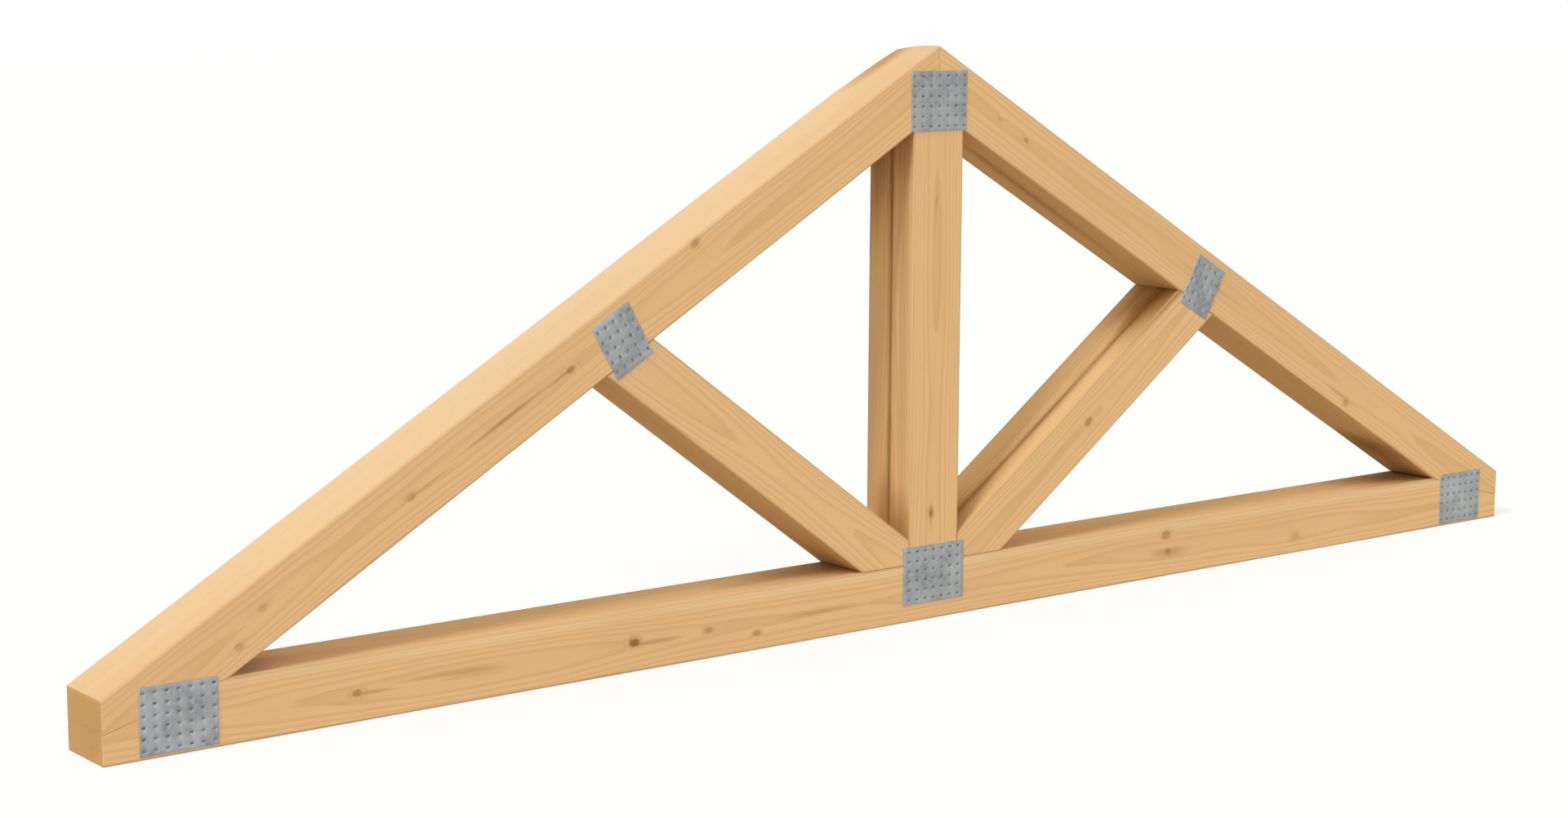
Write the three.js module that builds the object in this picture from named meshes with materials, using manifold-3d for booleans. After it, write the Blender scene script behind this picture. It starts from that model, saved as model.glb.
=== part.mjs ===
// A small timber roof truss: bottom chord, two top chords, king post and two webs,
// joined by punched steel nail plates on both faces. Millimetres, +Z up.
// Origin: middle of the underside of the bottom chord. +X runs along the span, the front face looks to -Y.
import * as THREE from "three";
import { mergeVertices } from "three/addons/utils/BufferGeometryUtils.js";
import Module from "manifold-3d";

const wasm = await Module();
wasm.setup();

// ---------------------------------------------------------------- driving dimensions
const span = 3200; // between the plumb-cut ends
const roofPitch = THREE.MathUtils.degToRad(30);
const heelHeight = 100; // height of the plumb cut at each end
const timberThickness = 120; // every timber, front face to back face
const bottomChordDepth = 105;
const topChordDepth = 100;
const kingPostWidth = 115;
const webDepth = 100;
const webHeadRun = 613; // centre line to where a web's upper edge meets the top chord
const webFootRise = 45; // bottom chord to where a web's upper edge meets the king post
const arrisRadius = 3; // eased long edges of the timbers
const arrisFacets = 3; // flats that each eased edge is made of
const jointGap = 0.3; // between two cut faces

const plateThickness = 1.2;
const jointPlate = { length: 128, width: 105 }; // at the heels and the apex
const centrePlate = { length: 142, width: 105 }; // over the foot of the king post
const webPlate = { length: 102, width: 82 }; // at the head of each web, standing across the top chord
const heelPlateInset = 58; // plumb cut to the near edge of the plate
const heelPlateRise = 5; // underside of the truss to the lower edge of the plate
const centrePlateRise = 31; // underside of the truss to the lower edge of the plate
const webPlateMargin = 16; // roof face of the top chord to the upper edge of the plate

const toothSlot = { length: 6.4, width: 3.4 }; // hole left where a tooth is punched out and bent back
const slotPitchAlong = 19.2;
const slotPitchAcross = 17.5;
const slotEdgeDistance = 3; // least metal between a slot and the edge of its plate

// ---------------------------------------------------------------- lines that the joints share
const slope = Math.tan(roofPitch);
const halfSpan = span / 2;
const peakHeight = heelHeight + halfSpan * slope;
const plumbDepth = topChordDepth / Math.cos(roofPitch); // top chord measured along a plumb cut
const roofSlopeNormal = new THREE.Vector2(Math.sin(roofPitch), Math.cos(roofPitch));

// Height of the top chord's underside at a distance from the centre line.
const undersideAt = (run) => peakHeight - plumbDepth - slope * run;

// The heel joint is mitred: its line runs from the inner corner of the two chords to their outer corner.
const heelInner = new THREE.Vector2((peakHeight - plumbDepth - bottomChordDepth) / slope, bottomChordDepth);
const heelOuter = new THREE.Vector2(peakHeight / slope, 0);

const webHead = new THREE.Vector2(webHeadRun, undersideAt(webHeadRun));
const webFoot = new THREE.Vector2(kingPostWidth / 2, bottomChordDepth + webFootRise);
const webDirection = webHead.clone().sub(webFoot).normalize();
const webDownNormal = new THREE.Vector2(webDirection.y, -webDirection.x); // from the upper edge to the lower

// ---------------------------------------------------------------- materials
const timber = new THREE.MeshStandardMaterial({ color: 0xdcb280, roughness: 0.72, metalness: 0 });
const galvanisedSteel = new THREE.MeshStandardMaterial({ color: 0x9b9d9b, roughness: 0.45, metalness: 0.85 });

// ---------------------------------------------------------------- solids
function toSolid(geometry) {
  const bare = geometry.clone();
  bare.deleteAttribute("normal");
  bare.deleteAttribute("uv");
  const merged = mergeVertices(bare, 1e-4);
  return new wasm.Manifold(
    new wasm.Mesh({
      numProp: 3,
      vertProperties: new Float32Array(merged.attributes.position.array),
      triVerts: new Uint32Array(merged.index.array),
    }),
  );
}

function toGeometry(solid) {
  const mesh = solid.getMesh();
  const geometry = new THREE.BufferGeometry();
  geometry.setAttribute("position", new THREE.BufferAttribute(mesh.vertProperties, 3));
  geometry.setIndex(new THREE.BufferAttribute(mesh.triVerts, 1));
  return geometry;
}

// A length of sawn timber with eased long edges. It runs from a to b, the middle of its section, in the XZ plane.
function stock(a, b, depth) {
  const length = a.distanceTo(b);
  const half = { x: timberThickness / 2 - arrisRadius, y: depth / 2 - arrisRadius };
  const section = new THREE.Shape();
  section.absarc(half.x, half.y, arrisRadius, 0, Math.PI / 2);
  section.absarc(-half.x, half.y, arrisRadius, Math.PI / 2, Math.PI);
  section.absarc(-half.x, -half.y, arrisRadius, Math.PI, 1.5 * Math.PI);
  section.absarc(half.x, -half.y, arrisRadius, 1.5 * Math.PI, 2 * Math.PI);
  const run = { depth: length, bevelEnabled: false, curveSegments: arrisFacets };
  const geometry = new THREE.ExtrudeGeometry(section, run);
  const along = new THREE.Vector3(b.x - a.x, 0, b.y - a.y).normalize();
  const across = new THREE.Vector3(0, 1, 0);
  const up = new THREE.Vector3().crossVectors(along, across);
  const place = new THREE.Matrix4().makeBasis(across, up, along);
  place.setPosition(a.x, 0, a.y);
  return toSolid(geometry.applyMatrix4(place));
}

// Saws off everything beyond the plane through a point of the XZ plane, on the side its normal points to.
function saw(solid, point, normal) {
  const size = 4 * span;
  const block = new THREE.BoxGeometry(size, size, size).translate(size / 2, 0, 0);
  block.rotateY(-Math.atan2(normal.y, normal.x));
  block.translate(point.x, 0, point.y);
  return solid.subtract(toSolid(block));
}

// A point of the right half, moved to the left half when side is -1.
const onSide = (side, point) => new THREE.Vector2(side * point.x, point.y);

// The mitre's plane normal, pointing from the bottom chord to the top chord of the right half.
function heelNormal() {
  const run = heelOuter.clone().sub(heelInner).normalize();
  return new THREE.Vector2(-run.y, run.x);
}

function bottomChord() {
  const middle = bottomChordDepth / 2;
  let solid = stock(new THREE.Vector2(-halfSpan, middle), new THREE.Vector2(halfSpan, middle), bottomChordDepth);
  for (const side of [-1, 1]) solid = saw(solid, onSide(side, heelInner), onSide(side, heelNormal()));
  return solid;
}

function topChord(side) {
  const towardsRoof = roofSlopeNormal.clone().multiplyScalar(-topChordDepth / 2);
  const peak = new THREE.Vector2(0, peakHeight).add(towardsRoof);
  const eave = new THREE.Vector2(halfSpan, heelHeight).add(towardsRoof);
  const overlength = eave.clone().sub(peak).normalize().multiplyScalar(2 * topChordDepth);
  let solid = stock(onSide(side, peak.sub(overlength)), onSide(side, eave.add(overlength)), topChordDepth);
  solid = saw(solid, new THREE.Vector2((side * jointGap) / 2, 0), new THREE.Vector2(-side, 0));
  solid = saw(solid, new THREE.Vector2(side * halfSpan, 0), new THREE.Vector2(side, 0));
  const lift = heelNormal().multiplyScalar(jointGap);
  return saw(solid, onSide(side, heelInner.clone().add(lift)), onSide(side, heelNormal().negate()));
}

function kingPost() {
  const foot = new THREE.Vector2(0, bottomChordDepth + jointGap);
  let solid = stock(foot, new THREE.Vector2(0, peakHeight), kingPostWidth);
  const shoulder = new THREE.Vector2(0, undersideAt(0)).addScaledVector(roofSlopeNormal, -jointGap);
  for (const side of [-1, 1]) solid = saw(solid, onSide(side, shoulder), onSide(side, roofSlopeNormal));
  return solid;
}

function web(side) {
  const toMiddle = webDownNormal.clone().multiplyScalar(webDepth / 2);
  const overlength = webDirection.clone().multiplyScalar(2 * webDepth);
  const foot = webFoot.clone().add(toMiddle).sub(overlength);
  const head = webHead.clone().add(toMiddle).add(overlength);
  let solid = stock(onSide(side, foot), onSide(side, head), webDepth);
  solid = saw(solid, new THREE.Vector2(side * (webFoot.x + jointGap), 0), new THREE.Vector2(-side, 0));
  solid = saw(solid, new THREE.Vector2(0, bottomChordDepth + jointGap), new THREE.Vector2(0, -1));
  const underside = webHead.clone().addScaledVector(roofSlopeNormal, -jointGap);
  return saw(solid, onSide(side, underside), onSide(side, roofSlopeNormal));
}

// How many slots of one row fit on a length of plate.
const slotCount = (room, slotSize, pitch) => Math.floor((room - 2 * slotEdgeDistance - slotSize) / pitch) + 1;

// A nail plate lying in the XZ plane about its own centre, its back on y = 0 and its face towards -Y.
function nailPlate({ length, width }) {
  const sheet = new THREE.BoxGeometry(length, plateThickness, width).translate(0, -plateThickness / 2, 0);
  let solid = toSolid(sheet);
  const rows = slotCount(width, toothSlot.width, slotPitchAcross);
  const columns = slotCount(length, toothSlot.length, slotPitchAlong);
  for (let row = 0; row < rows; row++) {
    for (let column = 0; column < columns; column++) {
      const x = (column - (columns - 1) / 2) * slotPitchAlong;
      const z = (row - (rows - 1) / 2) * slotPitchAcross;
      const punch = new THREE.BoxGeometry(toothSlot.length, 4 * plateThickness, toothSlot.width);
      solid = solid.subtract(toSolid(punch.translate(x, 0, z)));
    }
  }
  return toGeometry(solid);
}

// ---------------------------------------------------------------- assembly
const truss = new THREE.Group();

function addTimber(name, solid) {
  const mesh = new THREE.Mesh(toGeometry(solid), timber);
  mesh.name = name;
  truss.add(mesh);
}

// One plate on the front face and its twin on the back face, turned about the face's normal by tilt.
function addPlatePair(name, size, centre, tilt) {
  for (const [face, turn] of [["front", 0], ["back", Math.PI]]) {
    const seat = new THREE.Group();
    seat.rotation.z = turn;
    const mesh = new THREE.Mesh(nailPlate(size), galvanisedSteel);
    mesh.name = `${name}_${face}`;
    const facing = face === "front" ? 1 : -1;
    mesh.position.set(facing * centre.x, -timberThickness / 2, centre.y);
    mesh.rotation.y = -facing * tilt;
    seat.add(mesh);
    truss.add(seat);
  }
}

addTimber("bottom_chord", bottomChord());
addTimber("king_post", kingPost());
for (const [hand, side] of [["left", -1], ["right", 1]]) {
  addTimber(`top_chord_${hand}`, topChord(side));
  addTimber(`web_${hand}`, web(side));
}

// The apex plate's lower edge lies level with the corners between the king post and the top chords.
const apexCentre = new THREE.Vector2(0, undersideAt(kingPostWidth / 2) + jointPlate.width / 2);
addPlatePair("apex_plate", jointPlate, apexCentre, 0);
addPlatePair("centre_plate", centrePlate, new THREE.Vector2(0, centrePlateRise + centrePlate.width / 2), 0);

const heelCentre = new THREE.Vector2(
  halfSpan - heelPlateInset - jointPlate.length / 2,
  heelPlateRise + jointPlate.width / 2,
);

// A web plate is centred along the slope on the head of its web.
const headWidth = webDepth / Math.abs(webDirection.dot(roofSlopeNormal));
const downSlope = new THREE.Vector2(Math.cos(roofPitch), -Math.sin(roofPitch));
const webPlateCentre = webHead
  .clone()
  .addScaledVector(downSlope, headWidth / 2)
  .addScaledVector(roofSlopeNormal, topChordDepth - webPlateMargin - webPlate.length / 2);

for (const [hand, side] of [["left", -1], ["right", 1]]) {
  addPlatePair(`heel_plate_${hand}`, jointPlate, onSide(side, heelCentre), 0);
  addPlatePair(`web_plate_${hand}`, webPlate, onSide(side, webPlateCentre), side * (Math.PI / 2 - roofPitch));
}

export default truss;
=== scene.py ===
"""Looks of a small timber roof truss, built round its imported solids.

Bottom chord, two top chords, king post and two webs of planed softwood, joined by punched
galvanised nail plates on both faces. Metres, +X along the span, front face towards -Y, +Z up.
"""
import functools
import math

import bpy
import numpy as np
from mathutils import Matrix, Vector


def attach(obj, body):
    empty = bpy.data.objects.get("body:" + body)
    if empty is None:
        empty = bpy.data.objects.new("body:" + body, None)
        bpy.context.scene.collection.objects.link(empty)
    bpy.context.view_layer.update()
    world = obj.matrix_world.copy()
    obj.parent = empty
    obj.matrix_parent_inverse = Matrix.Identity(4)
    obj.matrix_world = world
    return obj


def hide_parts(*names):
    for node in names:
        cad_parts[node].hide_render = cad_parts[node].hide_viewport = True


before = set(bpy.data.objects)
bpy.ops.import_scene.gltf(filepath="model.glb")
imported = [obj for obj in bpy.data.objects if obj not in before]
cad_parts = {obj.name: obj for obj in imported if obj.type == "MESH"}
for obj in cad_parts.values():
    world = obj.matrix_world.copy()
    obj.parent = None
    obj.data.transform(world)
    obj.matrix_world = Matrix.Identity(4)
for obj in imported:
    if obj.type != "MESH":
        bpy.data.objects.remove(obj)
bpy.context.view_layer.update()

MM = 0.001

# ---- sizes of the truss, in millimetres
SPAN = 3200.0
ROOF_PITCH = math.radians(30.0)
HEEL_HEIGHT = 100.0
TIMBER_THICKNESS = 120.0
BOTTOM_CHORD_DEPTH = 105.0
TOP_CHORD_DEPTH = 100.0
KING_POST_WIDTH = 115.0
WEB_DEPTH = 100.0
WEB_HEAD_RUN = 613.0
WEB_FOOT_RISE = 45.0
JOINT_GAP = 0.3
PLATE_THICKNESS = 1.2
TOOTH_SLOT = (6.4, 3.4)
SLOT_PITCH = (19.2, 17.5)
SLOT_EDGE_DISTANCE = 3.0
JOINT_PLATE, CENTRE_PLATE, WEB_PLATE = (128.0, 105.0), (142.0, 105.0), (102.0, 82.0)
HEEL_PLATE_INSET, HEEL_PLATE_RISE = 58.0, 5.0
CENTRE_PLATE_RISE, WEB_PLATE_MARGIN = 31.0, 16.0

SLOPE = math.tan(ROOF_PITCH)
HALF_SPAN = SPAN / 2
PEAK_HEIGHT = HEEL_HEIGHT + HALF_SPAN * SLOPE
PLUMB_DEPTH = TOP_CHORD_DEPTH / math.cos(ROOF_PITCH)
ROOF_NORMAL = np.array([math.sin(ROOF_PITCH), math.cos(ROOF_PITCH)])
DOWN_SLOPE = np.array([math.cos(ROOF_PITCH), -math.sin(ROOF_PITCH)])
FRONT, BACK = -TIMBER_THICKNESS / 2, TIMBER_THICKNESS / 2


def underside_at(run):
    """Height of a top chord's underside at a distance from the centre line."""
    return PEAK_HEIGHT - PLUMB_DEPTH - SLOPE * run


def unit(run):
    """A run shortened or stretched to length 1."""
    return run / np.linalg.norm(run)


def on_side(side, point):
    """A point or direction of the right half (side 1), or its mirror in the left half (side -1)."""
    return np.array([side * point[0], point[1]])


HEEL_INNER = np.array([(underside_at(0) - BOTTOM_CHORD_DEPTH) / SLOPE, BOTTOM_CHORD_DEPTH])
HEEL_OUTER = np.array([PEAK_HEIGHT / SLOPE, 0.0])
HEEL_RUN = unit(HEEL_OUTER - HEEL_INNER)
HEEL_NORMAL = np.array([-HEEL_RUN[1], HEEL_RUN[0]])
WEB_HEAD = np.array([WEB_HEAD_RUN, underside_at(WEB_HEAD_RUN)])
WEB_FOOT = np.array([KING_POST_WIDTH / 2, BOTTOM_CHORD_DEPTH + WEB_FOOT_RISE])
WEB_ALONG = unit(WEB_HEAD - WEB_FOOT)
WEB_DOWN = np.array([WEB_ALONG[1], -WEB_ALONG[0]])


# ---- shader maths
def paint(red, green, blue):
    """A colour written as 0 to 255 on a screen, in linear light."""
    parts = np.array([red, green, blue]) / 255.0
    linear = np.where(parts <= 0.04045, parts / 12.92, ((parts + 0.055) / 1.055) ** 2.4)
    return (*map(float, linear), 1.0)


class Signal:
    """A number, vector or colour that changes over a surface. Arithmetic on it adds Math nodes."""

    def __init__(self, finish, socket):
        self.finish, self.socket = finish, socket

    def __add__(self, other):
        return self.finish.math("ADD", self, other)

    __radd__ = __add__

    def __sub__(self, other):
        return self.finish.math("SUBTRACT", self, other)

    def __rsub__(self, other):
        return self.finish.math("SUBTRACT", other, self)

    def __mul__(self, other):
        return self.finish.math("MULTIPLY", self, other)

    __rmul__ = __mul__

    def __truediv__(self, other):
        return self.finish.math("DIVIDE", self, other)

    def __rtruediv__(self, other):
        return self.finish.math("DIVIDE", other, self)


class Finish:
    """The node tree of one material, or of the world."""

    def __init__(self, owner):
        self.owner = owner
        owner.use_nodes = True
        self.tree = owner.node_tree
        self.tree.nodes.clear()

    @staticmethod
    def socket(sockets, key):
        """One of a node's sockets, by its identifier, its name or its number."""
        return next((held for held in sockets if held.identifier == key), None) or sockets[key]

    def node(self, kind, settings=None, inputs=None, out=0):
        """Adds a node: settings first, then socket values or links; gives its output as a Signal."""
        made = self.tree.nodes.new(kind)
        for key, value in (settings or {}).items():
            setattr(made, key, value)
        for key, value in (inputs or {}).items():
            socket = self.socket(made.inputs, key)
            if isinstance(value, Signal):
                self.tree.links.new(value.socket, socket)
            else:
                socket.default_value = value
        return Signal(self, self.socket(made.outputs, out))

    def math(self, operation, first, second=0.0):
        """Math on one or two numbers."""
        return self.node("ShaderNodeMath", {"operation": operation}, {0: first, 1: second})

    def least(self, signals):
        """The smallest of several numbers."""
        return functools.reduce(functools.partial(self.math, "MINIMUM"), signals)

    def most(self, signals):
        """The largest of several numbers."""
        return functools.reduce(functools.partial(self.math, "MAXIMUM"), signals)

    def vector(self, operation, first, second=(0.0, 0.0, 0.0), third=(0.0, 0.0, 0.0), out=0):
        """Vector Math on up to three vectors."""
        return self.node("ShaderNodeVectorMath", {"operation": operation},
                         {0: first, 1: second, 2: third}, out)

    def length(self, vector):
        """How long a vector is."""
        return self.vector("LENGTH", vector, out="Value")

    def rising(self, value, low, high):
        """0 below low, 1 above high, and a smooth step between them."""
        return self.node("ShaderNodeMapRange", {"interpolation_type": "SMOOTHSTEP"},
                         {"Value": value, "From Min": low, "From Max": high})

    def blend(self, amount, first, second, kind="MIX"):
        """Two colours mixed by amount."""
        return self.node("ShaderNodeMix", {"data_type": "RGBA", "blend_type": kind},
                         {"Factor_Float": amount, "A_Color": first, "B_Color": second}, "Result_Color")

    def place(self):
        """The place on the piece, in metres."""
        return self.node("ShaderNodeTexCoord", out="Object")

    def grain(self, place, cells, shift, detail=2.0, roughness=0.5, out="Fac"):
        """Noise of about 0 to 1, with its own cells per metre on each axis of place."""
        where = self.vector("MULTIPLY_ADD", place, cells, (shift, shift * 0.7, -shift * 0.4))
        return self.node("ShaderNodeTexNoise", {},
                         {"Vector": where, "Scale": 1.0, "Detail": detail, "Roughness": roughness}, out)

    def surface(self, base, rough, height, depth, strength=0.6, metallic=0.0, gloss=0.5):
        """Ends the tree in a Principled surface with bumps of height times depth metres."""
        normal = self.node("ShaderNodeBump", {},
                           {"Strength": strength, "Distance": depth, "Height": height})
        shader = self.node("ShaderNodeBsdfPrincipled", {}, {
            "Base Color": base, "Roughness": rough, "Metallic": metallic, "Normal": normal,
            "Specular IOR Level": gloss})
        return self.ends_in("ShaderNodeOutputMaterial", shader)

    def ends_in(self, kind, shader):
        """Links the last shader to the output node, and gives back what the tree belongs to."""
        output = self.tree.nodes.new(kind)
        self.tree.links.new(shader.socket, output.inputs["Surface"])
        return self.owner


# ---- wood
EARLY_WOOD = paint(227, 184, 133)
LATE_WOOD = paint(196, 143, 88)
HEART_WOOD = paint(208, 158, 102)
KNOT_HEART = paint(150, 99, 52)
KNOT_RIM = paint(108, 66, 32)
STREAK = paint(172, 122, 74)
CHECK_DARK = paint(132, 80, 36)
# painted sheen: pales the roof faces of the top chords, where the light falls full on them
PAINTED_ROOF_SHEEN = paint(228, 197, 160)
SAWN_TINT = paint(232, 226, 214)
HEART_LINE = paint(138, 88, 42)
# painted shade: a brown laid where corners, joints and neighbouring timbers keep the light off
PAINTED_SHADE_BROWN = paint(140, 100, 46)
# painted shade for the rounded arrises, taking down the highlight they catch
PAINTED_ARRIS_SHADE = paint(196, 152, 104)
# painted highlight for the lit front upper arris of the bottom chord
PAINTED_EDGE_HIGHLIGHT = paint(244, 212, 168)
RAW_WOOD_GLOSS = 0.03
PLANED_RELIEF, SAWN_RELIEF = 0.00035, 0.0005
PLANED_ROUGHNESS, FIBRE_ROUGHNESS, LATE_SMOOTHNESS = 0.84, 0.20, 0.10
SAWN_ROUGHNESS, TEETH_ROUGHNESS = 0.92, 0.12
FIBRE_RISE, LATE_RISE, RESIN_SINK = 0.5, 0.35, 0.8  # shares of the planed relief
TEETH_RISE, SAWN_LATE_RISE = 1.4, 0.5  # and of the sawn one
CHECK_TINT_EDGES = (0.0, 0.9)

# metres: ring width, how far the pith wanders, and how far the rings swell, shiver and are
# pushed aside by a knot; heartwood ends between its two radii, swelled by its own amount
RING_WIDTH = 0.0042
PITH_WANDER = 0.022
RING_SWELL, RING_SHIVER, RING_PUSH = 0.009, 0.0009, 0.0055
HEARTWOOD_RADII, HEARTWOOD_SWELL = (0.052, 0.066), 0.012
RINGS_BEFORE_PITH = 40.0  # keeps the count of rings above nothing
LATE_WOOD_FROM, RING_END = 0.35, 0.93  # shares of a ring

# knots: nearness is 1 at a knot's edge
KNOT_OVAL = np.array([0.68, 1.0, 1.0])  # a knot is longer along the timber than across it
KNOT_LEAN = 0.25  # a knot's root lies back along the timber by this share of the face's distance
KNOT_RAGGED = 0.9
LEAST_GIRTH = 0.0004
KNOT_FADE, HALO_FADE = (0.45, 1.2), (0.6, 2.4)
KNOT_RIM_FROM, KNOT_RIM_TO = (0.6, 0.9), (0.9, 1.3)
KNOT_RINGS, KNOT_RING_SHIVER, KNOT_RING_RAGGED, KNOT_RING_EDGES = 2.6, 0.5, 1.2, (0.1, 0.9)
RIM_BROKEN = (0.4, 0.7)  # its rim is missing where the ragged noise is low

# resin dashes stand where their noise is high; a streak's edge is frayed by swell and fibre
RESIN_FROM = (0.70, 0.80)
STREAK_FRAY, STREAK_FADE = (0.8, 0.5), (0.1, 1.0)

# how strongly each thing colours the wood
LATE_TINT, LATE_CLOUD_TINT, HEART_TINT = 0.16, 0.26, 0.22
KNOT_RING_TINT, KNOT_HALO_TINT, KNOT_RIM_TINT = 0.4, 0.4, 0.8
# the first is how strongly the arrises take their painted shade
ARRIS_SHADE_SHARE, CHECK_TINT = 0.5, 0.85
BRIGHTNESS, FIBRE_SHADE, CLOUD_SHADE, RESIN_SHADE = 0.98, 0.16, 0.16, 0.10

# noises of the wood: cells per metre along, through and across the timber, shift, detail, roughness
PITH_GRAIN = ((1.3, 0.0, 0.0), 0.0, 1.0)
SWELL_GRAIN = ((2.2, 14.0, 14.0), 3.1)
SHIVER_GRAIN = ((14.0, 160.0, 160.0), 5.7)
RAGGED_GRAIN = ((70.0, 90.0, 90.0), 4.4)
FIBRE_GRAIN = ((9.0, 700.0, 700.0), 9.3, 3.0, 0.6)
CLOUD_GRAIN = ((1.7, 9.0, 9.0), 1.9)
RESIN_GRAIN = ((55.0, 1100.0, 1100.0), 7.7, 1.0)
SAW_GRAIN = ((420.0, 18.0, 420.0), 2.2)


class GrainLine:
    """The straight middle line of a timber: its start, direction and place of the pith."""

    def __init__(self, start, along, pith):
        self.start = np.array(start, float)
        self.along = unit(np.array(along, float))
        self.angle = math.atan2(self.along[1], self.along[0])
        self.across = np.array([-self.along[1], self.along[0]])
        self.pith = pith

    def local(self, x, z):
        """Millimetres along and across the timber of a point of its face."""
        away = np.array([x, z]) - self.start
        return float(away @ self.along), float(away @ self.across)

    def point(self, along, across):
        """x and z of a place given along and across the timber."""
        return tuple(self.start + self.along * along + self.across * across)


def knot_fields(wood, place, line, pith, ragged, knots):
    """Nearness to the knots, their own strength and that of the halo round them.

    A knot is a cone from the pith to a face, in a space shortened along the timber so that it
    comes out oval. Nearness is the distance from its axis over its girth there.
    """
    shortened = wood.vector("MULTIPLY", place, tuple(KNOT_OVAL))
    nearness, cores, halos = [], [], []
    for x, z, face, radius, strength in knots:
        along, across = line.local(x, z)
        tip = np.array([along, face, across]) * MM * KNOT_OVAL
        root = np.array([(along - KNOT_LEAN * abs(face)) * MM, pith[1], pith[2]]) * KNOT_OVAL
        reach = float(np.linalg.norm(tip - root))
        axis = (tip - root) / reach
        away = wood.vector("SUBTRACT", shortened, tuple(root))
        offset = wood.length(wood.vector("CROSS_PRODUCT", away, tuple(axis)))
        outward = wood.vector("DOT_PRODUCT", away, tuple(axis), out="Value")
        girth = wood.math("MAXIMUM", outward * (radius * MM / reach), LEAST_GIRTH)
        behind = wood.math("MAXIMUM", outward * -1.0, 0.0)
        ratio = (offset + behind + (ragged - 0.5) * (KNOT_RAGGED * radius * MM)) / girth
        nearness.append(ratio)
        cores.append((1.0 - wood.rising(ratio, *KNOT_FADE)) * strength)
        halos.append((1.0 - wood.rising(ratio, *HALO_FADE)) * strength)
    return wood.least(nearness), wood.most(cores), wood.most(halos)


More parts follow.
